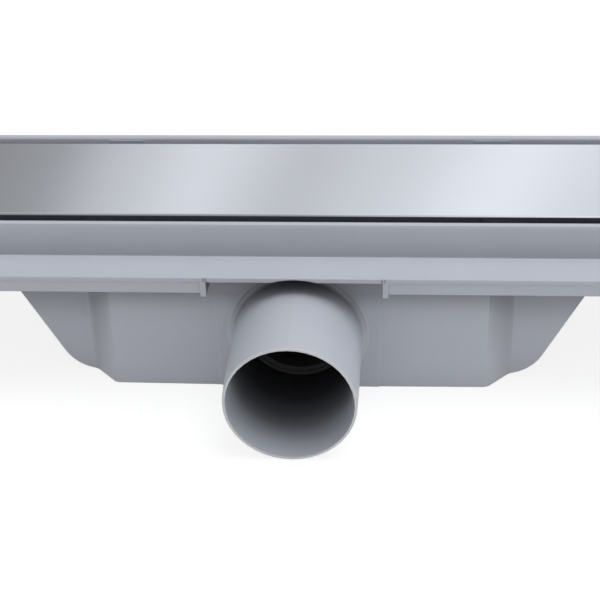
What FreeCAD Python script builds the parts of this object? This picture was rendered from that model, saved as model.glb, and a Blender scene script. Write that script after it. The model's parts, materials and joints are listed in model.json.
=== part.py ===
import FreeCAD, Part
import math
import os

# Shower channel drain with a horizontal outlet. Millimetres.
# X runs along the channel, -Y points out of the outlet and Z is up.
# The origin is the plan centre of the trough, on the plane that the sump stands on.

# Outlet spigot, moulded on the front of the sump with its underside level with the base
spigot_diameter = 50.0
spigot_wall = 2.3
spigot_length = 48.8
spigot_fillet = 2.5
lead_in_length = 9.5        # the spigot narrows over this length towards its mouth
lead_in_depth = 0.3
mouth_wall = 1.0            # at the mouth, where the bore opens a little
mouth_taper_length = 32.5
mouth_edge = 0.3
bore_edge = 0.8
socket_relief = 31.45       # radius kept free round the spigot for the socket of a pipe

# Trough
trough_length = 600.0
trough_width = 80.75
trough_wall = 3.45
trough_corner = 5.9
trough_depth = 22.8         # from the rim to the floor beside the sump
rim_edge = 0.5
floor_height = 48.0         # inside, beside the sump
floor_wall = 2.55
floor_fall = 2.45           # from the ends to the sump
floor_level_run = 8.8       # level strip beside the mouth of the sump

# Sealing flange round the trough, with a lip under its edge
flange_width = 16.05
flange_drop = 13.5          # its top is this much under the rim
flange_thickness = 2.05
flange_corner = 13.7
flange_edge = 0.4
lip_depth = 4.8
lip_thickness = 1.8
lip_setback = 0.25
outlet_window = 66.25       # the lip is left out in front of the outlet over this length
gusset_width = 2.2
gusset_depth = 6.2
gusset_stand = 0.2          # the gusset stands out past the flange's edge
split_notch = 0.5           # notches in the flange's edge where the mould's slide ended
split_notch_depth = 0.25
rib_thickness = 1.6
rib_pitch = 44.1
rib_clearance = 0.6         # ribs end this much above the bottom of the lip

# Sump
sump_length = 182.3         # where its sloping ends would meet the base
sump_end_angle = 61.8
sump_end_radius = 16.65
sump_width = 67.8           # of its outer bays
sump_wall = 3.0
sump_floor_wall = 2.2
sump_edge = 3.9
bay_front = 43.6            # face of the middle bay, from the trough's centre line
bay_back = 39.4
bay_length = 148.55         # flat length of that face
facet_length = 9.2          # of the slanting face at each end, along the channel
underside_flat = 64.7       # the underside is flat here and rises a little beyond
underside_rise = 0.5
mouth_step = 0.5            # the sump's mouth is this much inside the trough's wall
slide_pad_top = 64.9        # panel left by the mould's slide round the spigot
slide_pad_bottom = 63.3
slide_pad_height = 0.3

# Seats for the cover's bridges, moulded on the trough's long walls
bridge_inner_distance = 77.3  # of the two inner bridges from the centre
bridge_outer_distance = 232.0
seat_width = 14.5
seat_depth = 3.0
seat_drop = 14.45           # the seat is this much under the rim
guide_depth = 0.3
guide_drop = 1.05           # the guide face ends this much under the rim

# Cover panel, folded from stainless sheet
cover_gap = 5.1             # slot all round between the panel and the rim
cover_sheet = 1.5
cover_fold_depth = 9.8
cover_fold_radius = 0.8     # outside; the sheet is grooved inside before it is folded

# Bridges and their rubber buffers
bridge_width = 13.5
bridge_clearance = 0.25     # to the guide faces of the trough
bridge_web = 1.8
bridge_fold_clearance = 0.6
bridge_lug_drop = 6.4       # its lugs end this much under the rim
buffer_offset = 20.0
buffer_length = 10.0
buffer_width = 7.0
buffer_head = 1.5
buffer_stem = 3.4           # square
buffer_stem_length = 3.0
buffer_clearance = 0.05

# Removable trap
trap_length = 106.0
trap_wall = 2.0
trap_corner = 3.0
trap_rise = 3.0             # its top is this much above the floor beside it
trap_front_gap = 1.3
lock_gap = 7.0              # room behind the trap, so that its collar can leave the bore
chamber_length = 53.0       # of the outlet chamber, inside
chamber_floor = 5.2
chamber_floor_wall = 1.8
weir_height = 37.5
dip_height = 12.0
skirt_height = 6.0
foot_size = 6.0
foot_inset = 8.0
foot_front_inset = 19.5
collar_clearance = 1.2
collar_wall = 2.9
collar_set_back = 2.3       # its end is this much behind the face of the sump
collar_end_wall = 1.3       # its bore is counterbored at the end
collar_counterbore = 1.2
seal_width = 2.4
seal_groove_depth = 1.4
seal_groove_clearance = 0.2
seal_end_land = 1.6
seal_land_depth = 0.3       # the foot of its fin is this much below the collar's surface
seal_fit = 0.05
strainer_ledge = 5.0
strainer_ledge_thickness = 2.0
strainer_ledge_length = 19.5
catch_drop = 6.0            # its catches are this much under its top
catch_depth = 0.9

# Trap lid and its gasket
lid_thickness = 2.0
lid_side_gap = 0.3
lid_overhang = 2.0
gasket_thickness = 1.0
lid_skirt_wall = 1.5
lid_skirt_depth = 3.5
lid_skirt_clearance = 0.3
hook_width = 12.0
hook_thickness = 1.5
hook_clearance = 0.25
hook_nose = 0.7
grip_length = 34.0
grip_thickness = 3.0
grip_bead = 5.0
grip_cover_gap = 2.2        # between the grip and the cover

# Locking wedge behind the trap
wedge_width = 36.0
wedge_plate = 2.0
wedge_rib_offset = 12.0
wedge_rib_width = 4.0
wedge_bottom = 7.0
wedge_top_gap = 2.5         # under the lid
track_width = 7.0
track_depth_top = 0.8
track_depth_bottom = 2.2
pull_tab_height = 7.0
pull_tab_width = 16.0

# Hair strainers over the two ends of the sump
strainer_plate = 2.0
strainer_rim = 1.6
strainer_rim_height = 1.6
strainer_end_gap = 0.5
strainer_side_gap = 0.5
strainer_overlap = 1.7      # on the trap's ledge
strainer_slot = 2.5
strainer_slot_pitch = 5.2
strainer_slot_margin = 4.5
strainer_middle_web = 5.0
strainer_tab_height = 7.0
strainer_tab_length = 14.0
strainer_tab_thickness = 2.0

# Derived sizes that several pieces share
axis_height = spigot_diameter / 2
spigot_radius = spigot_diameter / 2
mouth_radius = spigot_radius - lead_in_depth
bore_radius = spigot_radius - spigot_wall
mouth_y = -(bay_front + spigot_length)
rim_height = floor_height + trough_depth
half_length = trough_length / 2
half_width = trough_width / 2
inner_half_length = half_length - trough_wall
inner_half_width = half_width - trough_wall
flange_half_length = half_length + flange_width
flange_half_width = half_width + flange_width
flange_height = rim_height - flange_drop
flange_underside = flange_height - flange_thickness
lip_bottom = flange_underside - lip_depth
seat_height = rim_height - seat_drop
sump_slope = math.tan(math.radians(sump_end_angle))
sump_slant = math.sin(math.radians(sump_end_angle))
narrow_half = sump_width / 2
bay_inside = inner_half_width - mouth_step
facet_ratio = facet_length / (bay_front - narrow_half)
bay_end = bay_length / 2 + facet_length
cover_top = rim_height
cover_underside = cover_top - cover_sheet
cover_half_width = inner_half_width - cover_gap
cover_half_length = inner_half_length - cover_gap
bridge_spots = (
    -bridge_outer_distance,
    -bridge_inner_distance,
    bridge_inner_distance,
    bridge_outer_distance,
)
bridge_half = inner_half_width - guide_depth - bridge_clearance
bridge_top = cover_underside - buffer_head
bridge_lug_top = rim_height - bridge_lug_drop
bridge_notch_floor = cover_top - cover_fold_depth - bridge_fold_clearance
trap_front = -(bay_inside - trap_front_gap)
trap_back = bay_inside - lock_gap
trap_middle = (trap_front + trap_back) / 2
trap_half = trap_length / 2
trap_top = floor_height + trap_rise
catch_height = trap_top - catch_drop
collar_radius = bore_radius - collar_clearance
collar_end = -(bay_front - collar_set_back)
lid_underside = trap_top + gasket_thickness
grip_height = cover_underside - grip_cover_gap - grip_bead / 2      # of the bead's centre line
track_top = floor_height
wedge_top = trap_top - wedge_top_gap


def outline(corners, place):
    """Closed wire through corners (u, v, radius), with a tangent arc where the radius isn't 0."""
    points = [FreeCAD.Vector(u, v, 0) for u, v, radius in corners]
    starts, middles, ends = [], [], []
    for i, (u, v, radius) in enumerate(corners):
        here = points[i]
        back = (points[i - 1] - here).normalize()
        ahead = (points[(i + 1) % len(points)] - here).normalize()
        half_angle = back.getAngle(ahead) / 2
        reach = radius / math.tan(half_angle)
        inward = (back + ahead).normalize() if radius else back
        starts.append(place(here + back * reach))
        middles.append(place(here + inward * (radius / math.sin(half_angle) - radius)))
        ends.append(place(here + ahead * reach))
    edges = []
    for i, (u, v, radius) in enumerate(corners):
        if radius:
            edges.append(Part.Arc(starts[i], middles[i], ends[i]).toShape())
        following = starts[(i + 1) % len(corners)]
        if ends[i].distanceToPoint(following) > 1e-6:
            edges.append(Part.LineSegment(ends[i], following).toShape())
    return Part.Wire(edges)


def plan_prism(corners, low, high):
    """Solid from an outline in the XY plane, between two heights."""
    wire = outline(corners, lambda p: FreeCAD.Vector(p.x, p.y, low))
    return Part.Face(wire).extrude(FreeCAD.Vector(0, 0, high - low))


def side_prism(corners, front, back):
    """Solid from an outline in the XZ plane, between two values of Y."""
    wire = outline(corners, lambda p: FreeCAD.Vector(p.x, front, p.y))
    return Part.Face(wire).extrude(FreeCAD.Vector(0, back - front, 0))


def cross_prism(corners, left, right):
    """Solid from an outline in the YZ plane, between two values of X."""
    wire = outline(corners, lambda p: FreeCAD.Vector(left, p.x, p.y))
    return Part.Face(wire).extrude(FreeCAD.Vector(right - left, 0, 0))


def block(x, y, z):
    """Box between the pairs of limits in x, y and z."""
    (x0, x1), (y0, y1), (z0, z1) = sorted(x), sorted(y), sorted(z)
    return Part.makeBox(x1 - x0, y1 - y0, z1 - z0, FreeCAD.Vector(x0, y0, z0))


def rectangle(half_x, half_y, radius):
    """Corners of a rounded rectangle about the origin."""
    return [
        (-half_x, -half_y, radius),
        (half_x, -half_y, radius),
        (half_x, half_y, radius),
        (-half_x, half_y, radius),
    ]


def edges_at(shape, height):
    """Edges of a shape that lie in the horizontal plane at a height."""
    return [edge for edge in shape.Edges if all(abs(v.Z - height) < 0.01 for v in edge.Vertexes)]


def outlet_cylinder(radius, front, back):
    """Cylinder on the axis of the outlet, between two values of Y."""
    start = FreeCAD.Vector(0, front, axis_height)
    return Part.makeCylinder(radius, back - front, start, FreeCAD.Vector(0, 1, 0))


def outlet_ring(section):
    """Revolves a closed section of (radius, Y) points about the axis of the outlet."""
    points = [FreeCAD.Vector(0, y, axis_height + radius) for radius, y in section]
    face = Part.Face(Part.makePolygon(points + points[:1]))
    return face.revolve(FreeCAD.Vector(0, 0, axis_height), FreeCAD.Vector(0, 1, 0), 360)


def mirror_x(shape):
    return shape.mirror(FreeCAD.Vector(0, 0, 0), FreeCAD.Vector(1, 0, 0))


def with_mirror(shape):
    """The shape and its image on the other side of the centre of the channel."""
    return [shape, mirror_x(shape)]


def sump_end(height, inset):
    """X of the sump's sloping end at a height, the wall's thickness inwards of its face."""
    return sump_length / 2 + height / sump_slope - inset / sump_slant


def facet_x(y, inset):
    """X of the middle bay's slanting facet at a distance from the centre line."""
    slant = math.hypot(1, facet_ratio)
    return bay_end - (abs(y) - narrow_half) * facet_ratio - inset * slant


def sump_solid(inset, floor, front, back, top, edge):
    """The sump's form, with its walls moved in by inset and its floor raised by floor."""
    side = narrow_half - inset
    reach = sump_end(top, inset)
    right = [
        (facet_x(front, inset), -front, edge),
        (facet_x(side, inset), -side, edge),
        (reach, -side, 0),
        (reach, side, 0),
        (facet_x(side, inset), side, edge),
        (facet_x(back, inset), back, edge),
    ]
    left = [(-x, y, radius) for x, y, radius in reversed(right)]
    plan = plan_prism(right + left, floor, top)
    rise = floor + underside_rise
    half = [
        (underside_flat / 2, floor, 0),
        (sump_end(rise, inset), rise, sump_end_radius - inset),
        (reach, top, 0),
    ]
    profile = half + [(-x, z, radius) for x, z, radius in reversed(half)]
    return plan.common(side_prism(profile, -front - 1, back + 1))


def trough_solid(end, side, corner, floor_end, floor_middle, level_end, top):
    """The trough's form, with a floor that falls from its ends to the level strip."""
    half = [(level_end, floor_middle, 0), (end, floor_end, 0), (end, top, 0)]
    profile = half + [(-x, z, radius) for x, z, radius in reversed(half)]
    form = side_prism(profile, -side, side)
    return form.common(plan_prism(rectangle(end, side, corner), floor_middle - 1, top + 1))


def body_envelope():
    """Trough, flange and sump before they are hollowed."""
    level_end = sump_end(floor_height, sump_wall) + floor_level_run
    trough = trough_solid(
        half_length,
        half_width,
        trough_corner,
        floor_height + floor_fall - floor_wall,
        floor_height - floor_wall,
        level_end,
        rim_height,
    )
    trough = trough.makeChamfer(rim_edge, edges_at(trough, rim_height))
    flange = plan_prism(
        rectangle(flange_half_length, flange_half_width, flange_corner),
        flange_underside,
        flange_height,
    )
    flange = flange.makeChamfer(flange_edge, edges_at(flange, flange_height))
    sump = sump_solid(0, 0, bay_front, bay_back, flange_underside, sump_edge)
    return trough.fuse([flange, sump])


def lip_frame():
    """Lip under the flange's edge, left out in front of the outlet."""
    outer = [flange_half_length - lip_setback, flange_half_width - lip_setback]
    inner = [value - lip_thickness for value in outer]
    radius = flange_corner - lip_setback
    frame = plan_prism(rectangle(*outer, radius), lip_bottom, flange_underside)
    hole = plan_prism(rectangle(*inner, radius - lip_thickness), lip_bottom, flange_underside)
    window = block(
        (-outlet_window / 2, outlet_window / 2),
        (-flange_half_width, -bay_front),
        (lip_bottom, flange_underside),
    )
    return frame.cut([hole, window])


def gusset(side):
    """Web that closes the end of the lip beside the outlet."""
    near = side * outlet_window / 2
    far = near + side * gusset_width
    return block(
        (near, far),
        (-flange_half_width - gusset_stand, -bay_front),
        (flange_underside - gusset_depth, flange_underside),
    )


def split_notches(side):
    """Two fine notches in the flange's edge, on both sides of the gusset's inner face."""
    line = side * (outlet_window / 2 + split_notch / 2)
    return [
        block(
            (line + step * split_notch - split_notch / 2, line + step * split_notch + split_notch / 2),
            (-flange_half_width, -flange_half_width + split_notch_depth),
            (flange_underside + split_notch / 2, flange_height - flange_edge),
        )
        for step in (-1, 1)
    ]


def flange_ribs():
    """Stiffening webs under the flange, between the trough and the lip."""
    ribs = []
    bottom = lip_bottom + rib_clearance
    first = outlet_window / 2 + rib_pitch / 2
    count = int((half_length - first) / rib_pitch) + 1
    reach = flange_half_width - lip_setback - lip_thickness / 2
    for i in range(count):
        x = first + i * rib_pitch
        web = (x - rib_thickness / 2, x + rib_thickness / 2)
        for side in (-1, 1):
            limits = (side * (half_width - trough_wall / 2), side * reach)
            ribs += with_mirror(block(web, limits, (bottom, flange_underside)))
    for y in (-rib_pitch / 2, rib_pitch / 2):
        web = (y - rib_thickness / 2, y + rib_thickness / 2)
        limits = (half_length - trough_wall / 2, reach + half_length - half_width)
        ribs += with_mirror(block(limits, web, (bottom, flange_underside)))
    return ribs


def slide_pad():
    """Slightly raised panel round the spigot, from the base to the flange."""
    corners = [
        (-slide_pad_bottom / 2, 0, 0),
        (slide_pad_bottom / 2, 0, 0),
        (slide_pad_top / 2, flange_underside, 0),
        (-slide_pad_top / 2, flange_underside, 0),
    ]
    return side_prism(corners, -bay_front - slide_pad_height, -bay_front + sump_wall)


def spigot():
    """Spigot with a lead-in at its mouth and a fillet at its foot, cut level with the base."""
    face = -bay_front - slide_pad_height
    tube = outlet_ring([
        (0, mouth_y),
        (mouth_radius - mouth_edge, mouth_y),
        (mouth_radius, mouth_y + mouth_edge),
        (spigot_radius, mouth_y + lead_in_length),
        (spigot_radius, -bay_inside),
        (0, -bay_inside),
    ])
    foot = outlet_cylinder(spigot_radius + spigot_fillet, face - spigot_fillet, -bay_inside - 1)
    hollow = Part.makeTorus(
        spigot_radius + spigot_fillet,
        spigot_fillet,
        FreeCAD.Vector(0, face - spigot_fillet, axis_height),
        FreeCAD.Vector(0, 1, 0),
    )
    below = block(
        (-spigot_diameter, spigot_diameter), (mouth_y - 1, 0), (-spigot_diameter, 0)
    )
    return tube.fuse(foot.cut(hollow)).cut(below)


def outlet_bore():
    """Bore through the spigot and the sump's wall, opened out towards its mouth."""
    inner = -bay_inside + 1
    through = outlet_ring([
        (0, mouth_y - 1),
        (mouth_radius - mouth_wall, mouth_y - 1),
        (mouth_radius - mouth_wall, mouth_y),
        (bore_radius, mouth_y + mouth_taper_length),
        (bore_radius, -bay_inside - bore_edge),
        (bore_radius + bore_edge, -bay_inside),
        (bore_radius + bore_edge, inner),
        (0, inner),
    ])
    sides = (-spigot_diameter, spigot_diameter)
    in_floor = block(sides, (-bay_inside, inner + 1), (-spigot_diameter, sump_floor_wall))
    return through.cut(in_floor)


def body_cavity():
    """Inside of the trough and of the sump below it."""
    level_end = sump_end(floor_height, sump_wall) + floor_level_run
    trough = trough_solid(
        inner_half_length,
        inner_half_width,
        trough_corner - trough_wall,
        floor_height + floor_fall,
        floor_height,
        level_end,
        rim_height + 1,
    )
    sump = sump_solid(
        sump_wall, sump_floor_wall, bay_inside, bay_inside, floor_height, sump_edge - 1
    )
    return trough.fuse(sump)


def bridge_seat(x, side):
    """Seat and guide face for one end of a bridge, running down to the floor below."""
    wall = inner_half_width + trough_wall / 2
    edge = inner_half_width - seat_depth
    guide = inner_half_width - guide_depth
    corners = [
        (wall, 1, 0),
        (edge, 1, 0),
        (edge, seat_height, 0),
        (guide, seat_height, 0),
        (guide, rim_height - guide_drop, 0),
        (wall, rim_height - guide_drop, 0),
    ]
    shape = cross_prism(corners, x - seat_width / 2, x + seat_width / 2)
    if side > 0:
        return shape
    return shape.mirror(FreeCAD.Vector(0, 0, 0), FreeCAD.Vector(0, 1, 0))


def track_face(z):
    """Y of the wedge tracks' sloping face at a height."""
    share = (track_top - z) / (track_top - sump_floor_wall)
    return bay_inside - track_depth_top - share * (track_depth_bottom - track_depth_top)


def wedge_track(x):
    """Track on the sump's back wall that the locking wedge slides on."""
    corners = [
        (bay_inside + 1, sump_floor_wall - 1, 0),
        (track_face(sump_floor_wall - 1), sump_floor_wall - 1, 0),
        (track_face(track_top), track_top, 0),
        (bay_inside + 1, track_top, 0),
    ]
    return cross_prism(corners, x - track_width / 2, x + track_width / 2)


def inner_rim_edges(shape):
    """Edges round the inside of the rim's top."""
    limit = inner_half_length + 0.01
    side = inner_half_width + 0.01
    return [
        edge
        for edge in edges_at(shape, rim_height)
        if all(abs(v.X) < limit and abs(v.Y) < side for v in edge.Vertexes)
    ]


def channel_body():
    """One moulding: trough, sealing flange, sump and outlet spigot."""
    envelope = body_envelope()
    outside = envelope.fuse(
        [lip_frame(), slide_pad(), spigot(), gusset(-1), gusset(1)] + flange_ribs()
    )
    relief = outlet_cylinder(
        socket_relief, -flange_half_width - 5, -bay_front - slide_pad_height
    ).cut(outlet_cylinder(spigot_radius + spigot_fillet + 0.01, mouth_y, 0))
    hollow = outside.cut([body_cavity(), relief] + split_notches(-1) + split_notches(1))
    hollow = hollow.makeChamfer(rim_edge, inner_rim_edges(hollow))
    seats = [bridge_seat(x, side) for x in bridge_spots for side in (-1, 1)]
    tracks = [wedge_track(x) for x in (-wedge_rib_offset, wedge_rib_offset)]
    fittings = seats[0].fuse(seats[1:] + tracks).common(envelope)
    return hollow.fuse(fittings).cut(outlet_bore()).removeSplitter()


def cover_plate():
    """Solid panel with its four edges folded down and the corners closed."""
    bottom = cover_top - cover_fold_depth
    radius = cover_fold_radius
    outer = plan_prism(
        rectangle(cover_half_length, cover_half_width, radius), bottom, cover_top
    )
    outer = outer.makeFillet(radius * 0.99, edges_at(outer, cover_top))
    inner = plan_prism(
        rectangle(
            cover_half_length - cover_sheet,
            cover_half_width - cover_sheet,
            0,
        ),
        bottom - 1,
        cover_underside,
    )
    return outer.cut(inner)


def bridge(x):
    """Moulded bar that hangs between the trough's walls and carries the cover."""
    fold_inside = cover_half_width - cover_sheet - bridge_fold_clearance
    fold_outside = cover_half_width + bridge_fold_clearance
    half = [
        (bridge_half, seat_height, 0),
        (bridge_half, bridge_lug_top, 0),
        (fold_outside, bridge_lug_top, 0),
        (fold_outside, bridge_notch_floor, 0),
        (fold_inside, bridge_notch_floor, 0),
        (fold_inside, bridge_top, 0),
    ]
    profile = half + [(-y, z, radius) for y, z, radius in reversed(half)]
    bar = cross_prism(profile, x - bridge_width / 2, x + bridge_width / 2)
    pocket_top = bridge_top - bridge_web
    inside = (x - bridge_width / 2 + bridge_web, x + bridge_width / 2 - bridge_web)
    boss = buffer_stem / 2 + bridge_web
    pockets = [
        block(inside, limits, (seat_height, pocket_top))
        for limits in (
            (-fold_inside + bridge_web, -buffer_offset - boss),
            (-buffer_offset + boss, -bridge_web / 2),
            (bridge_web / 2, buffer_offset - boss),
            (buffer_offset + boss, fold_inside - bridge_web),
        )
    ]
    sockets = [
        block(
            (x - buffer_stem / 2, x + buffer_stem / 2),
            (y - buffer_stem / 2, y + buffer_stem / 2),
            (seat_height, bridge_top),
        )
        for y in (-buffer_offset, buffer_offset)
    ]
    return bar.cut(pockets + sockets)


def cover_buffer(x, y):
    """Rubber pad with a stem pressed into a bridge, on which the cover lies."""
    half_stem = buffer_stem / 2 - buffer_clearance
    head = block(
        (x - buffer_length / 2, x + buffer_length / 2),
        (y - buffer_width / 2, y + buffer_width / 2),
        (bridge_top, cover_underside),
    )
    stem = block(
        (x - half_stem, x + half_stem),
        (y - half_stem, y + half_stem),
        (bridge_top - buffer_stem_length, bridge_top),
    )
    return head.fuse(stem).removeSplitter()


def trap_housing():
    """Trap body: outlet chamber with two weirs, and a dip wall at each end."""
    base = chamber_floor - chamber_floor_wall
    shell = plan_prism(rectangle(trap_half, (trap_back - trap_front) / 2, trap_corner), base, trap_top)
    shell.translate(FreeCAD.Vector(0, trap_middle, 0))
    inside_y = (trap_front + trap_wall, trap_back - trap_wall)
    end_inside = trap_half - trap_wall
    weir_outside = chamber_length / 2 + trap_wall
    cuts = [
        block((-chamber_length / 2, chamber_length / 2), inside_y, (chamber_floor, trap_top)),
        block((-end_inside, end_inside), inside_y, (weir_height, trap_top)),
    ]
    all_y = (trap_front, trap_back)
    cuts += with_mirror(block((weir_outside, end_inside), inside_y, (base, trap_top)))
    cuts += with_mirror(block((weir_outside, trap_half), all_y, (base, skirt_height)))
    cuts += with_mirror(block((end_inside, trap_half), all_y, (base, dip_height)))
    housing = shell.cut(cuts)
    collar = outlet_cylinder(collar_radius, collar_end, trap_front + trap_wall / 2)
    ledges = []
    for side in (-1, 1):
        start = trap_middle + side * (hook_width / 2 + 2)
        ledges += with_mirror(
            block(
                (trap_half - trap_wall / 2, trap_half + strainer_ledge),
                (start, start + side * strainer_ledge_length),
                (floor_height - strainer_ledge_thickness, floor_height),
            )
        )
    feet = []
    for y in (trap_front + foot_front_inset, trap_back - foot_inset):
        feet += with_mirror(
            block(
                (chamber_length / 2 - foot_inset, chamber_length / 2 - foot_inset - foot_size),
                (y - foot_size / 2, y + foot_size / 2),
                (sump_floor_wall, base),
            )
        )
    housing = housing.fuse([collar] + ledges + with_mirror(lid_catch()) + feet)
    port = outlet_cylinder(collar_radius - collar_wall, collar_end - 1, trap_front + trap_wall + 1)
    counterbore = outlet_cylinder(
        collar_radius - collar_end_wall, collar_end - 1, collar_end + collar_counterbore
    )
    groove_front = collar_end + seal_end_land
    groove_back = groove_front + seal_width + seal_groove_clearance
    groove = outlet_cylinder(collar_radius + 1, groove_front, groove_back).cut(
        outlet_cylinder(collar_radius - seal_groove_depth, groove_front, groove_back)
    )
    return housing.cut([port, counterbore, groove]).removeSplitter()


def lid_catch():
    """Sloping catch on the trap's end wall that a hook of the lid snaps under."""
    corners = [
        (trap_half - trap_wall / 2, catch_height, 0),
        (trap_half + catch_depth, catch_height, 0),
        (trap_half + 0.2, catch_height + 3, 0),
        (trap_half - trap_wall / 2, catch_height + 3, 0),
    ]
    half = hook_width / 2 - 1
    return side_prism(corners, trap_middle - half, trap_middle + half)


def outlet_seal():
    """Rubber ring with a pointed fin, in the groove of the trap's collar."""
    inner = collar_radius - seal_groove_depth
    outer = bore_radius - seal_fit
    front = collar_end + seal_end_land + seal_groove_clearance / 2
    back = front + seal_width
    land = collar_radius - seal_land_depth
    return outlet_ring([
        (inner, front),
        (land, front),
        (outer, (front + back) / 2),
        (land, back),
        (inner, back),
    ])


def trap_lid():
    """Snap-on lid with a plug skirt, two hooks and a grip."""
    top = lid_underside + lid_thickness
    half_y = bay_inside - lid_side_gap
    plate = plan_prism(
        rectangle(trap_half + lid_overhang, half_y, trap_corner), lid_underside, top
    )
    skirt_half_x = trap_half - trap_wall - lid_skirt_clearance
    skirt_half_y = (trap_back - trap_front) / 2 - trap_wall - lid_skirt_clearance
    bottom = lid_underside - lid_skirt_depth
    skirt = plan_prism(rectangle(skirt_half_x, skirt_half_y, 1), bottom, lid_underside).cut(
        plan_prism(
            rectangle(skirt_half_x - lid_skirt_wall, skirt_half_y - lid_skirt_wall, 0),
            bottom,
            lid_underside,
        )
    )
    skirt.translate(FreeCAD.Vector(0, trap_middle, 0))
    hook_inside = trap_half + catch_depth + hook_clearance
    nose_top = catch_height - 0.15
    hook = side_prism(
        [
            (hook_inside, lid_underside, 0),
            (hook_inside, nose_top, 0),
            (hook_inside - hook_nose, nose_top, 0),
            (hook_inside, nose_top - 2.5, 0),
            (hook_inside + hook_thickness, nose_top - 2.5, 0),
            (hook_inside + hook_thickness, lid_underside, 0),
        ],
        trap_middle - hook_width / 2,
        trap_middle + hook_width / 2,
    )
    web = block(
        (-grip_length / 2, grip_length / 2),
        (-grip_thickness / 2, grip_thickness / 2),
        (top, grip_height),
    )
    bead = Part.makeCylinder(
        grip_bead / 2,
        grip_length,
        FreeCAD.Vector(-grip_length / 2, 0, grip_height),
        FreeCAD.Vector(1, 0, 0),
    )
    return plate.fuse([skirt, web, bead] + with_mirror(hook)).removeSplitter()


def lid_gasket():
    """Flat rubber frame between the trap's rim and the lid."""
    half_y = (trap_back - trap_front) / 2
    outer = rectangle(trap_half, half_y, trap_corner)
    inner = rectangle(trap_half - trap_wall, half_y - trap_wall, 0.9)
    frame = plan_prism(outer, trap_top, lid_underside).cut(
        plan_prism(inner, trap_top, lid_underside)
    )
    frame.translate(FreeCAD.Vector(0, trap_middle, 0))
    return frame


def lock_wedge():
    """Wedge pushed down behind the trap, which holds its collar in the bore."""
    plate = plan_prism(
        rectangle(wedge_width / 2, wedge_plate / 2, wedge_plate / 2.2), wedge_bottom, wedge_top
    )
    plate.translate(FreeCAD.Vector(0, trap_back + wedge_plate / 2, 0))
    ribs = []
    for x in (-wedge_rib_offset, wedge_rib_offset):
        corners = [
            (trap_back + wedge_plate / 2, wedge_bottom, 0),
            (track_face(wedge_bottom), wedge_bottom, 0),
            (track_face(track_top - 2), track_top - 2, 0),
            (trap_back + wedge_plate / 2, wedge_top - 1, 0),
        ]
        ribs.append(cross_prism(corners, x - wedge_rib_width / 2, x + wedge_rib_width / 2))
    tab = block(
        (-pull_tab_width / 2, pull_tab_width / 2),
        (trap_back + wedge_plate / 2, track_face(track_top) - 1),
        (wedge_top - pull_tab_height, wedge_top),
    )
    grip = block(
        (-pull_tab_width / 2 + 1.5, pull_tab_width / 2 - 1.5),
        (trap_back + wedge_plate, track_face(track_top)),
        (wedge_top - pull_tab_height - 1, wedge_top - 2),
    )
    return plate.fuse(ribs + [tab.cut(grip)]).removeSplitter()


def hair_strainer():
    """Slotted plate over the right end of the sump, with a rim and a pull tab."""
    inner_end = trap_half + strainer_ledge - strainer_overlap
    outer_end = sump_end(floor_height, sump_wall) + floor_level_run - 2
    step = bridge_spots[2] - seat_width / 2 - strainer_end_gap
    wide = bay_inside - lid_side_gap
    narrow = inner_half_width - seat_depth - strainer_side_gap
    top = floor_height + strainer_plate

    def form(inset, low, high):
        half = [
            (inner_end + inset, -(wide - inset), 1),
            (step - inset, -(wide - inset), 1),
            (step - inset, -(narrow - inset), 0),
            (outer_end - inset, -(narrow - inset), 3 - inset),
        ]
        corners = half + [(x, -y, radius) for x, y, radius in reversed(half)]
        return plan_prism(corners, low, high)

    plate = form(0, floor_height, top)
    rim = form(0, top, top + strainer_rim_height).cut(form(strainer_rim, top, top + strainer_rim_height))
    slot_length = narrow - strainer_slot_margin - strainer_middle_web / 2
    slots = []
    first = inner_end + strainer_slot_margin
    count = int((outer_end - strainer_slot_margin - first) / strainer_slot_pitch)
    for i in range(count):
        x = first + (i + 0.5) * strainer_slot_pitch
        for side in (-1, 1):
            y = side * (strainer_middle_web / 2 + slot_length / 2)
            slots.append(
                block(
                    (x - strainer_slot / 2, x + strainer_slot / 2),
                    (y - slot_length / 2, y + slot_length / 2),
                    (floor_height, top),
                )
            )
    centre = (bridge_spots[2] + bridge_width / 2 + outer_end) / 2
    tab = block(
        (centre - strainer_tab_length / 2, centre + strainer_tab_length / 2),
        (-strainer_tab_thickness / 2, strainer_tab_thickness / 2),
        (top, top + strainer_tab_height),
    )
    return plate.cut(slots).fuse([rim, tab])


def build():
    """All pieces by name."""
    right_strainer = hair_strainer()
    pieces = {
        "channel_body": channel_body(),
        "cover_plate": cover_plate(),
        "trap_housing": trap_housing(),
        "trap_lid": trap_lid(),
        "lid_gasket": lid_gasket(),
        "outlet_seal": outlet_seal(),
        "lock_wedge": lock_wedge(),
        "strainer_right": right_strainer,
        "strainer_left": mirror_x(right_strainer),
    }
    for number, x in enumerate(bridge_spots, start=1):
        pieces[f"cover_bridge_{number}"] = bridge(x)
        pieces[f"buffer_{number}_front"] = cover_buffer(x, -buffer_offset)
        pieces[f"buffer_{number}_back"] = cover_buffer(x, buffer_offset)
    return pieces


os.makedirs("parts", exist_ok=True)
for node, shape in build().items():
    shape.exportStep(f"parts/{node}.step")
    print(node, shape.isValid(), len(shape.Solids), round(shape.Volume / 1000, 2), "cm3")
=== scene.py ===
import json
import math
from collections import namedtuple

import bpy
from mathutils import Matrix, Vector

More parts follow.
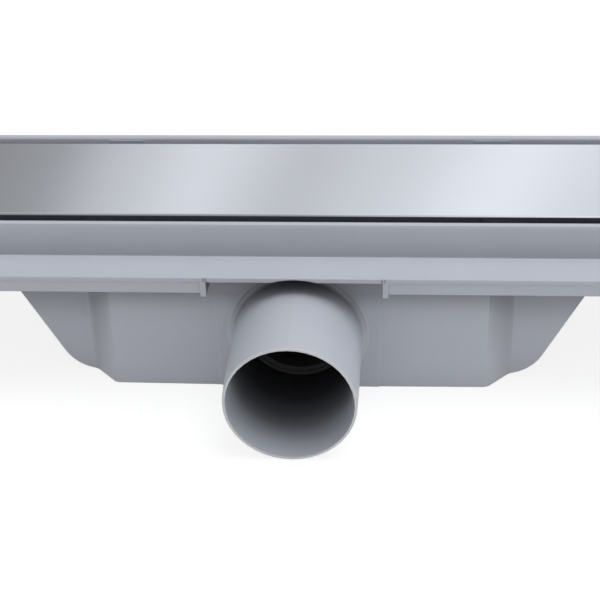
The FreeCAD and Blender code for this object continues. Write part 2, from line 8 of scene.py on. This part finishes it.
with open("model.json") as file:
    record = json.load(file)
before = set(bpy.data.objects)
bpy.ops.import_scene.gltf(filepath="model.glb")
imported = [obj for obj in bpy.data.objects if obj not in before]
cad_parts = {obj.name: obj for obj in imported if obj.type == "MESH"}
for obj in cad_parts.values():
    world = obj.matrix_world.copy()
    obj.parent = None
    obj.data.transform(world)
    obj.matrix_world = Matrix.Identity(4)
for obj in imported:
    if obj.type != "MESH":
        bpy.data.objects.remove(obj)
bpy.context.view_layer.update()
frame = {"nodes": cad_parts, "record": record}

# Channel drain with a polished cover, on a pale studio floor. Metres; the frame is the part's own.

# Camera: where it stands, which way it looks, and its lens
CAMERA_AT = Vector((0.03998, -0.51685, 0.32987))
CAMERA_AZIMUTH = math.radians(-4.694)
CAMERA_TILT = math.radians(-31.40)
CAMERA_ROLL = math.radians(-1.92)
LENS_MM = 86.53
SENSOR_MM = 36.0
CLIP_START = 0.01

# Soft square lamps: name, place, point that it faces, side, watts and colour
LAMPS = (
    ("top_lamp", (0.45, -0.1, 1.6), (0.0, 0.0, 0.0), 1.1, 12.4, (0.96, 1.0, 1.03)),
    ("side_lamp", (1.5, -0.7, 1.0), (0.0, 0.0, 0.03), 1.0, 2.6, (1.0, 1.0, 1.0)),
    ("front_lamp", (-0.4, -1.6, 0.5), (0.0, 0.0, 0.03), 0.8, 1.2, (1.0, 1.0, 1.0)),
)
LAMP_SPECULAR = 0.4
SKY_LEVEL = 0.52

# Floor: its grey for the light, and for what looks at it a darker grey, which keeps the shadow,
# with a glow of its own: (distance from the drain, brightness)
FLOOR_SIZE = 12.0
FLOOR_MATT = 0.86
FLOOR_SHADE = 0.28
FLOOR_GLOW = ((0.5, 0.81), (1.3, 1.0))

# What the cover mirrors behind the drain: (azimuth in degrees from straight back, brightness)
BACK_GLOW = (
    (-80.0, 0.55),
    (-62.0, 0.95),
    (-50.0, 0.5),
    (-41.0, 0.86),
    (-33.0, 0.36),
    (-26.0, 0.25),
    (-19.0, 0.33),
    (-16.5, 0.38),
    (-12.5, 0.70),
    (-9.2, 0.90),
    (-4.5, 0.655),
    (-1.0, 0.78),
    (4.5, 1.045),
    (9.0, 0.87),
    (15.0, 0.55),
    (28.0, 0.4),
    (40.0, 0.88),
    (52.0, 0.5),
    (68.0, 0.92),
    (80.0, 0.6),
)
# These panels lean: radians of azimuth for each unit of height, and the height where it is none
PANEL_LEAN = 0.65
PANEL_HEIGHT = 0.448
# Overhead and in front: (share of the way from behind the drain to in front of it, brightness)
FRONT_GLOW = ((0.2, 1.0), (0.3, 0.68), (0.5, 0.44), (0.8, 0.85))
FRONT_FADE = (0.12, 0.3)        # where this takes over from what is behind, by the same share
# with soft streaks from left to right: (share of the way, factor)
STREAKS = (
    (0.2, 0.8),
    (0.36, 0.7),
    (0.41, 0.9),
    (0.463, 0.78),
    (0.493, 1.25),
    (0.524, 1.75),
    (0.56, 2.1),
    (0.64, 1.1),
    (0.8, 1.05),
)

BODY_COLOUR = (0.495, 0.515, 0.57)
# The end face of the outlet's mouth, painted lighter: a painted highlight
MOUTH_HIGHLIGHT_COLOUR = (0.60, 0.61, 0.625)
# Black trap plastic, made darker than its own colour: painted shade deep in the outlet
TRAP_COLOUR = (0.05, 0.05, 0.055)
LID_COLOUR = (0.72, 0.73, 0.75)
RUBBER_COLOUR = (0.02, 0.02, 0.02)
STEEL_COLOUR = (0.735, 0.765, 0.835)

# Patterns are (scale, detail, roughness) of a noise, and what follows from one is (noise, value)
CLOUDS = (14.0, 5.0, 0.55)
CLOUD_TINTS = ((0.3, 0.965), (0.7, 1.03))
FLOW = (55.0, 3.0, 0.5)
PLASTIC_GLOSS = ((0.25, 0.37), (0.75, 0.48))
GRAIN = (2600.0, 2.0, 0.5)
GRAIN_STRENGTH = 0.05
GRAIN_DEPTH = 0.0002
EDGE_RADIUS = 0.0004
EDGE_SAMPLES = 6
PLASTIC_IOR = 1.49
PLASTIC_SPECULAR = 0.45

HAIRLINES = (1.6, 3.0, 0.6)
HAIRLINE_STRETCH = (6.0, 900.0, 900.0)
HAIRLINE_STRENGTH = 0.02
HAIRLINE_DEPTH = 0.0001
HAZE = (30.0, 3.0, 0.5)
STEEL_GLOSS = ((0.3, 0.09), (0.7, 0.12))

BLOOM = (400.0, 3.0, 0.5)
BLOOM_TINTS = ((0.3, 0.8), (0.8, 1.6))
RUBBER_ROUGHNESS = 0.7

# Shade by how open a point's surroundings are: (openness, level)
SHADE_SAMPLES = 8
HOLLOW_REACH = 0.045
HOLLOW_SHADE = ((0.02, 0.1), (0.2, 0.42), (0.34, 0.74), (0.5, 0.96), (0.8, 1.0))
# The cover's folded sides, which face the wall of the trough
SLOT_REACH = 0.012
SLOT_SHADE = ((0.3, 0.25), (0.6, 0.31), (0.75, 0.45), (0.85, 0.72), (0.95, 1.0))

# Which way faces look, by their normal
UPRIGHT = 0.4                   # to the front or back by more than this
SQUARE = 0.9                    # straight to the front, the back or up by more than this
FACET_LEAN = (0.3, 0.8)         # to the left or right: the sump's slanting facets
BEVEL_LEAN = (0.55, 0.85)       # up: the bevels on the rim's edges

# Painted shade on walls under the flange: (steepness of the line from a point to its lip, level)
UNDER_SHADE = (
    (0.0, 0.55),
    (0.6, 0.585),
    (0.75, 0.66),
    (0.9, 0.765),
    (1.06, 0.86),
    (1.2, 0.93),
    (1.5, 0.98),
    (1.8, 1.0),
    (3.0, 1.0),
)
# and the further shade on the facets among them
FACET_SHADE = ((0.0, 0.76), (0.6, 0.78), (1.2, 0.85), (1.8, 0.91), (2.4, 0.97), (3.0, 1.0))
UNDER_HALF_WIDTH = 0.0443
LIP_BOTTOM = 0.0505
LIP_OUT = 0.0564
LIP_MARGIN = 0.0012
# Painted shade on the flange's lip
LIP_SHADE = 0.89

# Painted light on the flange's top: (distance from the trough's wall, level)
FLANGE_LIGHT = (
    (0.0, 1.45),
    (0.001, 1.33),
    (0.002, 1.24),
    (0.003, 1.17),
    (0.0045, 1.12),
    (0.008, 1.09),
    (0.0115, 1.06),
    (0.016, 1.03),
)
FLANGE_TOP = 0.0573
FLANGE_MARGIN = 0.0004
TROUGH_HALF_WIDTH = 0.040375
TROUGH_HALF_LENGTH = 0.3

# The rim's edges, down to this far below its top, with painted shade on their bevels
RIM_TOP = 0.0708
RIM_EDGE = 0.0006
RIM_BEVEL_SHADE = 0.74

# Outside of the trough's long walls: (share of the way from the flange up to the rim, level)
WALL_SHADE = ((0.0, 0.76), (0.25, 0.80), (0.6, 0.86), (0.95, 0.91))
WALL_BAND = (0.025, 0.935)
WALL_NEAR = 0.0395
WALL_FAR = 0.0412

# Inside of the trough's long walls, in the slots beside the cover, painted lighter: painted light
SLOT_WALL = 0.0371
SLOT_MARGIN = 0.0003
SLOT_LOW = 0.06
SLOT_WALL_LIGHT = 1.25

# The outlet: its axis, the face that it stands on, its mouth and its bore
AXIS_HEIGHT = 0.025
SPIGOT_RADIUS = 0.025
FACE_Y = -0.0439
MOUTH_Y = -0.0924
# How far into the outlet the mouth's end face reaches, painted lighter as a highlight
MOUTH_FACE_DEPTH = 0.00035
BORE_RADIUS = 0.0239
BORE_END = -0.0355
# Painted shade in the bore, and painted light near its mouth: (depth from its mouth, level)
BORE_SHADE = (
    (0.0, 1.12),
    (0.008, 1.06),
    (0.014, 0.89),
    (0.019, 0.57),
    (0.025, 0.33),
    (0.036, 0.13),
    (0.047, 0.06),
)
# Shade in the corner at the outlet's foot: (distance from the corner, level). It spreads less over
# the face than along the outlet, and comes in between two heights.
FOOT_SHADE = ((0.0, 0.5), (0.0012, 0.54), (0.0025, 0.68), (0.004, 0.9), (0.0055, 1.0))
FOOT_SPREAD = 1.6
FOOT_HEIGHTS = (0.024, 0.039)
FOOT_MARGIN = 0.0005

# Fine raised lines of the mould's slide, on the face round the outlet; widths are half widths
# They are painted lighter than the face: painted highlights where their edges catch the light
LINE_WIDTH = 0.00022
LINE_HIGHLIGHT = 1.11
FACE_MARGIN = 0.0016
FOOT_RADIUS = 0.0275
FOOT_LINE_WIDTH = 0.00033
PAD_HALF_BOTTOM = 0.03165
PAD_HALF_TOP = 0.03245
PAD_HEIGHT = 0.05525

Spot = namedtuple("Spot", "x y z across from_axis")


class Shader:
    """A material or world node tree, with short calls to add and join its nodes."""

    def __init__(self, tree):
        self.tree = tree
        tree.nodes.clear()

    def node(self, kind, inputs=None, **settings):
        made = self.tree.nodes.new(kind)
        for name, value in settings.items():
            setattr(made, name, value)
        for name, value in (inputs or {}).items():
            self.feed(made.inputs[name], value)
        return made

    def feed(self, socket, value):
        """Links a socket to another one, or sets its value."""
        if isinstance(value, bpy.types.NodeSocket):
            self.tree.links.new(value, socket)
        else:
            socket.default_value = value

    def math(self, operation, first, second=0.0):
        return self.node("ShaderNodeMath", {0: first, 1: second}, operation=operation).outputs[0]

    def split(self, vector):
        """X, Y and Z of a vector."""
        return self.node("ShaderNodeSeparateXYZ", {0: vector}).outputs[:3]

    def length(self, first, second):
        """Length of two sides at a right angle."""
        squares = [self.math("POWER", side, 2.0) for side in (first, second)]
        return self.math("SQRT", self.math("ADD", *squares))

    def share(self, value, start, end):
        """Share of the way from start to end, kept between 0 and 1."""
        return self.node("ShaderNodeMapRange", {0: value, 1: start, 2: end}).outputs[0]

    def above(self, value, limit):
        return self.math("GREATER_THAN", value, limit)

    def below(self, value, limit):
        return self.math("LESS_THAN", value, limit)

    def near(self, value, target, margin):
        """1 where a value is within a margin of its target, else 0."""
        inputs = {0: value, 1: target, 2: margin}
        return self.node("ShaderNodeMath", inputs, operation="COMPARE").outputs[0]

    def between(self, value, low, high):
        """1 where a value lies from low to high, else 0."""
        return self.near(value, (low + high) / 2, (high - low) / 2)

    def every(self, first, *others):
        """Product of masks: 1 where all of them are 1."""
        for mask in others:
            first = self.math("MULTIPLY", first, mask)
        return first

    def ramp(self, factor, stops, interpolation="LINEAR"):
        made = self.node("ShaderNodeValToRGB", {"Fac": factor})
        made.color_ramp.interpolation = interpolation
        elements = made.color_ramp.elements
        while len(elements) < len(stops):
            elements.new(0.5)
        for element, (place, colour) in zip(elements, stops):
            element.position = place
            element.color = colour
        return made.outputs["Color"]

    def level(self, factor, stops, interpolation="LINEAR"):
        """Grey by a factor from 0 to 1, from stops of (factor, level)."""
        return self.ramp(factor, [(at, grey(level)) for at, level in stops], interpolation)

    def level_at(self, value, stops, reach=None):
        """Grey by a value from 0 to a reach, or else to the last stop, from (value, level)."""
        reach = reach or stops[-1][0]
        factor = self.math("DIVIDE", value, reach)
        return self.level(factor, [(at / reach, level) for at, level in stops])

    def scaled(self, colour, factor):
        """Colour times a factor, which may be a number or a colour too."""
        if isinstance(factor, float):
            factor = (factor, factor, factor)
        inputs = {0: colour, 1: factor}
        return self.node("ShaderNodeVectorMath", inputs, operation="MULTIPLY").outputs[0]

    def mixed(self, mask, first, second):
        made = self.node("ShaderNodeMix", {"Factor": mask}, data_type="RGBA")
        self.feed(made.inputs[6], first)
        self.feed(made.inputs[7], second)
        return made.outputs[2]

    def scaled_where(self, mask, colour, factor):
        return self.mixed(mask, colour, self.scaled(colour, factor))

    def noise(self, place, scale, detail, roughness):
        inputs = {"Vector": place, "Scale": scale, "Detail": detail, "Roughness": roughness}
        return self.node("ShaderNodeTexNoise", inputs).outputs["Fac"]

    def rays(self, *kinds):
        """1 for rays of any of these kinds, else 0."""
        path = self.node("ShaderNodeLightPath")
        among = path.outputs[kinds[0]]
        for kind in kinds[1:]:
            among = self.math("MAXIMUM", among, path.outputs[kind])
        return among

    def background(self, colour, strength):
        inputs = {"Color": colour, "Strength": strength}
        return self.node("ShaderNodeBackground", inputs).outputs[0]

    def either(self, mask, first, second):
        """First shader where a mask is 0, second where it is 1."""
        return self.node("ShaderNodeMixShader", {0: mask, 1: first, 2: second}).outputs[0]


def grey(value):
    return (value, value, value, 1.0)


def tinted(colour, factor=1.0):
    return tuple(min(1.0, channel * factor) for channel in colour) + (1.0,)


def tints(colour, stops):
    return [(at, tinted(colour, factor)) for at, factor in stops]


def new_material(name):
    material = bpy.data.materials.new(name)
    material.use_nodes = True
    return material, Shader(material.node_tree)


def hollow_shade(shader):
    """Level that is low where walls stand close round a point."""
    around = shader.node(
        "ShaderNodeAmbientOcclusion",
        {"Distance": HOLLOW_REACH},
        samples=SHADE_SAMPLES,
        only_local=True,
    )
    return shader.level(around.outputs["AO"], HOLLOW_SHADE)


def body_spot(shader, place):
    """A place on the channel body, with its distances from the middle and the outlet's axis."""
    x, y, z = shader.split(place)
    rise = shader.math("SUBTRACT", z, AXIS_HEIGHT)
    return Spot(x, y, z, shader.math("ABSOLUTE", y), shader.length(x, rise))


def upright_shade(shader, spot, shade):
    """The shade, with painted shade on upright faces under the flange and on its lip, and painted
    light on the walls in the slots.
    """
    normal = shader.node("ShaderNodeNewGeometry").outputs["Normal"]
    aside, ahead = (shader.math("ABSOLUTE", part) for part in shader.split(normal)[:2])
    upright = shader.above(ahead, UPRIGHT)

    under = shader.every(
        upright,
        shader.below(spot.across, UNDER_HALF_WIDTH),
        shader.below(spot.z, LIP_BOTTOM),
    )
    drop = shader.math("SUBTRACT", LIP_BOTTOM, spot.z)
    steepness = shader.math("DIVIDE", drop, shader.math("SUBTRACT", LIP_OUT, spot.across))
    level = shader.level_at(steepness, UNDER_SHADE)
    facet = shader.between(aside, *FACET_LEAN)
    level = shader.scaled_where(facet, level, shader.level_at(steepness, FACET_SHADE))
    shade = shader.scaled_where(under, shade, level)

    lip = shader.every(shader.above(ahead, SQUARE), shader.near(spot.across, LIP_OUT, LIP_MARGIN))
    shade = shader.scaled_where(lip, shade, LIP_SHADE)

    slot = shader.every(
        upright,
        shader.near(spot.across, SLOT_WALL, SLOT_MARGIN),
        shader.above(spot.z, SLOT_LOW),
    )
    return shader.scaled_where(slot, shade, SLOT_WALL_LIGHT)


def top_shade(shader, spot, shade):
    """The shade, with painted light on the flange's top and painted shade on the rim's bevelled
    edges.
    """
    normal = shader.node("ShaderNodeNewGeometry").outputs["True Normal"]
    upward = shader.split(normal)[2]

    beside = shader.math("SUBTRACT", spot.across, TROUGH_HALF_WIDTH)
    beyond = shader.math("SUBTRACT", shader.math("ABSOLUTE", spot.x), TROUGH_HALF_LENGTH)
    light = shader.level_at(shader.math("MAXIMUM", beside, beyond), FLANGE_LIGHT)
    flange = shader.every(
        shader.near(spot.z, FLANGE_TOP, FLANGE_MARGIN), shader.above(upward, SQUARE)
    )
    shade = shader.scaled_where(flange, shade, light)

    edge = shader.every(
        shader.above(spot.z, RIM_TOP - RIM_EDGE), shader.between(upward, *BEVEL_LEAN)
    )
    return shader.scaled_where(edge, shade, RIM_BEVEL_SHADE)


def foot_shade(shader, spot, shade):
    """The shade, deepened in the corner round the upper half of the outlet's foot."""
    out = shader.math("SUBTRACT", spot.from_axis, SPIGOT_RADIUS)
    ahead = shader.math("SUBTRACT", FACE_Y, spot.y)
    foot = shader.every(
        shader.above(out, -FOOT_MARGIN),
        shader.above(ahead, -FOOT_MARGIN),
        shader.share(spot.z, *FOOT_HEIGHTS),
    )
    away = shader.length(shader.math("MULTIPLY", out, FOOT_SPREAD), ahead)
    return shader.scaled_where(foot, shade, shader.level_at(away, FOOT_SHADE))


def bore_shade(shader, spot, shade):
    """The shade, replaced inside the outlet's bore by one that deepens with its depth."""
    inside = shader.every(
        shader.below(spot.from_axis, BORE_RADIUS), shader.below(spot.y, BORE_END)
    )
    depth = shader.math("SUBTRACT", spot.y, MOUTH_Y)
    return shader.mixed(inside, shade, shader.level_at(depth, BORE_SHADE, BORE_END - MOUTH_Y))


def wall_shade(shader, spot, shade):
    """The shade, deepened on the outside of the trough's long walls above the flange."""
    rise = shader.share(spot.z, FLANGE_TOP, RIM_TOP)
    wall = shader.every(
        shader.between(spot.across, WALL_NEAR, WALL_FAR), shader.between(rise, *WALL_BAND)
    )
    return shader.scaled_where(wall, shade, shader.level(rise, WALL_SHADE))


def mould_lines_and_highlights(shader, spot, colour):
    """Painted highlights: the outlet mouth's end face and the fine lines that the mould's slide
    left round it, painted lighter.
    """
    lean = (PAD_HALF_TOP - PAD_HALF_BOTTOM) / PAD_HEIGHT
    pad_edge = shader.math("ADD", shader.math("MULTIPLY", spot.z, lean), PAD_HALF_BOTTOM)
    pad_line = shader.near(shader.math("ABSOLUTE", spot.x), pad_edge, LINE_WIDTH)
    foot_line = shader.near(spot.from_axis, FOOT_RADIUS, FOOT_LINE_WIDTH)
    lines = shader.every(
        shader.math("MAXIMUM", pad_line, foot_line),
        shader.near(spot.y, FACE_Y, FACE_MARGIN),
        shader.below(spot.z, PAD_HEIGHT),
    )
    mouth = shader.below(spot.y, MOUTH_Y + MOUTH_FACE_DEPTH)
    highlighted = shader.scaled_where(lines, colour, LINE_HIGHLIGHT)
    return shader.mixed(mouth, highlighted, tinted(MOUTH_HIGHLIGHT_COLOUR))


def moulded_plastic(name, colour, body=False):
    """Injection-moulded plastic: cloudy colour, fine eroded grain, softened edges and painted
    shade in hollows; on the body also painted shade, painted light and painted highlights.
    """
    material, shader = new_material(name)
    place = shader.node("ShaderNodeTexCoord").outputs["Object"]
    tone = shader.ramp(shader.noise(place, *CLOUDS), tints(colour, CLOUD_TINTS))
    shade = hollow_shade(shader)
    if body:
        spot = body_spot(shader, place)
        tone = mould_lines_and_highlights(shader, spot, tone)
        for changed in (upright_shade, top_shade, foot_shade, bore_shade, wall_shade):
            shade = changed(shader, spot, shade)
    edge = shader.node("ShaderNodeBevel", {"Radius": EDGE_RADIUS}, samples=EDGE_SAMPLES)
    bump = shader.node(
        "ShaderNodeBump",
        {
            "Strength": GRAIN_STRENGTH,
            "Distance": GRAIN_DEPTH,
            "Height": shader.noise(place, *GRAIN),
            "Normal": edge.outputs[0],
        },
    )
    shaded = shader.node(
        "ShaderNodeBsdfPrincipled",
        {
            "Base Color": shader.scaled(tone, shade),
            "Roughness": shader.level(shader.noise(place, *FLOW), PLASTIC_GLOSS),
            "Normal": bump.outputs["Normal"],
            "IOR": PLASTIC_IOR,
            "Specular IOR Level": PLASTIC_SPECULAR,
        },
    )
    shader.node("ShaderNodeOutputMaterial", {"Surface": shaded.outputs["BSDF"]})
    return material


def polished_steel(name):
    """Polished stainless sheet with very fine hairlines along the channel, and painted shade on
    its folded sides.
    """
    material, shader = new_material(name)
    place = shader.node("ShaderNodeTexCoord").outputs["Object"]
    stretched = shader.node("ShaderNodeMapping", {"Vector": place, "Scale": HAIRLINE_STRETCH})
    bump = shader.node(
        "ShaderNodeBump",
        {
            "Strength": HAIRLINE_STRENGTH,
            "Distance": HAIRLINE_DEPTH,
            "Height": shader.noise(stretched.outputs["Vector"], *HAIRLINES),
        },
    )
    around = shader.node(
        "ShaderNodeAmbientOcclusion", {"Distance": SLOT_REACH}, samples=SHADE_SAMPLES
    )
    shade = shader.level(around.outputs["AO"], SLOT_SHADE)
    shaded = shader.node(
        "ShaderNodeBsdfPrincipled",
        {
            "Base Color": shader.scaled(STEEL_COLOUR, shade),
            "Metallic": 1.0,
            "Roughness": shader.level(shader.noise(place, *HAZE), STEEL_GLOSS),
            "Normal": bump.outputs["Normal"],
        },
    )
    shader.node("ShaderNodeOutputMaterial", {"Surface": shaded.outputs["BSDF"]})
    return material


def rubber(name):
    """Matt black rubber with a faint bloom."""
    material, shader = new_material(name)
    place = shader.node("ShaderNodeTexCoord").outputs["Object"]
    colour = shader.ramp(shader.noise(place, *BLOOM), tints(RUBBER_COLOUR, BLOOM_TINTS))
    shaded = shader.node(
        "ShaderNodeBsdfPrincipled", {"Base Color": colour, "Roughness": RUBBER_ROUGHNESS}
    )
    shader.node("ShaderNodeOutputMaterial", {"Surface": shaded.outputs["BSDF"]})
    return material


def dress_nodes():
    """Gives every CAD node its finish."""
    materials = {
        "grey_polypropylene": moulded_plastic("grey_polypropylene", BODY_COLOUR, body=True),
        "polished_steel": polished_steel("polished_steel"),
        "trap_plastic": moulded_plastic("trap_plastic", TRAP_COLOUR),
        "lid_plastic": moulded_plastic("lid_plastic", LID_COLOUR),
        "seal_rubber": rubber("seal_rubber"),
    }
    slots = {s["node"]: s["material_slot"] for s in frame["record"]["subparts"]}
    for name, node in frame["nodes"].items():
        node.data.materials.clear()
        node.data.materials.append(materials[slots[name]])


def studio_floor():
    """Pale floor: white to what looks at it where it is lit, with the drain's soft shadow kept."""
    bpy.ops.mesh.primitive_plane_add(size=FLOOR_SIZE)
    floor = bpy.context.object
    floor.name = "studio_floor"
    material, shader = new_material("studio_floor")
    matt = shader.node("ShaderNodeBsdfDiffuse", {"Color": grey(FLOOR_MATT)}).outputs["BSDF"]
    shade = shader.node("ShaderNodeBsdfDiffuse", {"Color": grey(FLOOR_SHADE)}).outputs["BSDF"]
    place = shader.node("ShaderNodeTexCoord").outputs["Object"]
    distance = shader.node("ShaderNodeVectorMath", {0: place}, operation="LENGTH").outputs["Value"]
    lit = shader.level_at(distance, FLOOR_GLOW)
    glow = shader.node("ShaderNodeEmission", {"Color": lit, "Strength": 1.0}).outputs[0]
    seen = shader.node("ShaderNodeAddShader", {0: shade, 1: glow}).outputs[0]
    looks = shader.rays("Is Camera Ray", "Is Glossy Ray", "Is Transmission Ray")
    surface = shader.either(looks, matt, seen)
    shader.node("ShaderNodeOutputMaterial", {"Surface": surface})
    floor.data.materials.append(material)


def studio_world():
    """Even sky for the light, white to the camera, and soft panels for what is polished."""
    world = bpy.data.worlds.new("studio")
    bpy.context.scene.world = world
    world.use_nodes = True
    shader = Shader(world.node_tree)
    x, y, z = shader.split(shader.node("ShaderNodeTexCoord").outputs["Generated"])

    lean = shader.math("MULTIPLY", shader.math("SUBTRACT", z, PANEL_HEIGHT), PANEL_LEAN)
    azimuth = shader.math("ADD", shader.math("ARCTAN2", x, y), lean)
    first, last = BACK_GLOW[0][0], BACK_GLOW[-1][0]
    around = shader.share(azimuth, math.radians(first), math.radians(last))
    stops = [((at - first) / (last - first), level) for at, level in BACK_GLOW]
    back = shader.level(around, stops, "EASE")

    forward = shader.share(y, 1.0, -1.0)
    streaks = shader.level(shader.share(x, -1.0, 1.0), STREAKS, "EASE")
    front = shader.scaled(shader.level(forward, FRONT_GLOW), streaks)
    panels = shader.mixed(shader.share(forward, *FRONT_FADE), back, front)

    sky = shader.background(grey(1.0), SKY_LEVEL)
    shine = shader.background(panels, 1.0)
    white = shader.background(grey(1.0), 1.0)
    unseen = shader.either(shader.rays("Is Glossy Ray"), sky, shine)
    surface = shader.either(shader.rays("Is Camera Ray", "Is Transmission Ray"), unseen, white)
    shader.node("ShaderNodeOutputWorld", {"Surface": surface})


def lamp(name, place, target, side, watts, colour):
    """Soft square lamp that what is polished doesn't mirror."""
    data = bpy.data.lights.new(name, "AREA")
    data.color = colour
    data.shape = "SQUARE"
    data.size = side
    data.energy = watts
    data.specular_factor = LAMP_SPECULAR
    light = bpy.data.objects.new(name, data)
    light.location = place
    light.rotation_euler = (Vector(target) - Vector(place)).to_track_quat("-Z", "Y").to_euler()
    light.visible_glossy = False
    bpy.context.scene.collection.objects.link(light)


def camera():
    """Camera at its place, turned by azimuth, tilt and roll from looking along +Y."""
    data = bpy.data.cameras.new("camera")
    data.lens = LENS_MM
    data.sensor_width = SENSOR_MM
    data.clip_start = CLIP_START
    eye = bpy.data.objects.new("camera", data)
    turn = (
        Matrix.Rotation(-CAMERA_AZIMUTH, 4, "Z")
        @ Matrix.Rotation(math.pi / 2 + CAMERA_TILT, 4, "X")
        @ Matrix.Rotation(CAMERA_ROLL, 4, "Z")
    )
    eye.matrix_world = Matrix.Translation(CAMERA_AT) @ turn
    bpy.context.scene.collection.objects.link(eye)
    bpy.context.scene.camera = eye


dress_nodes()
studio_floor()
studio_world()
for row in LAMPS:
    lamp(*row)
camera()
bpy.context.scene.view_settings.view_transform = "Standard"
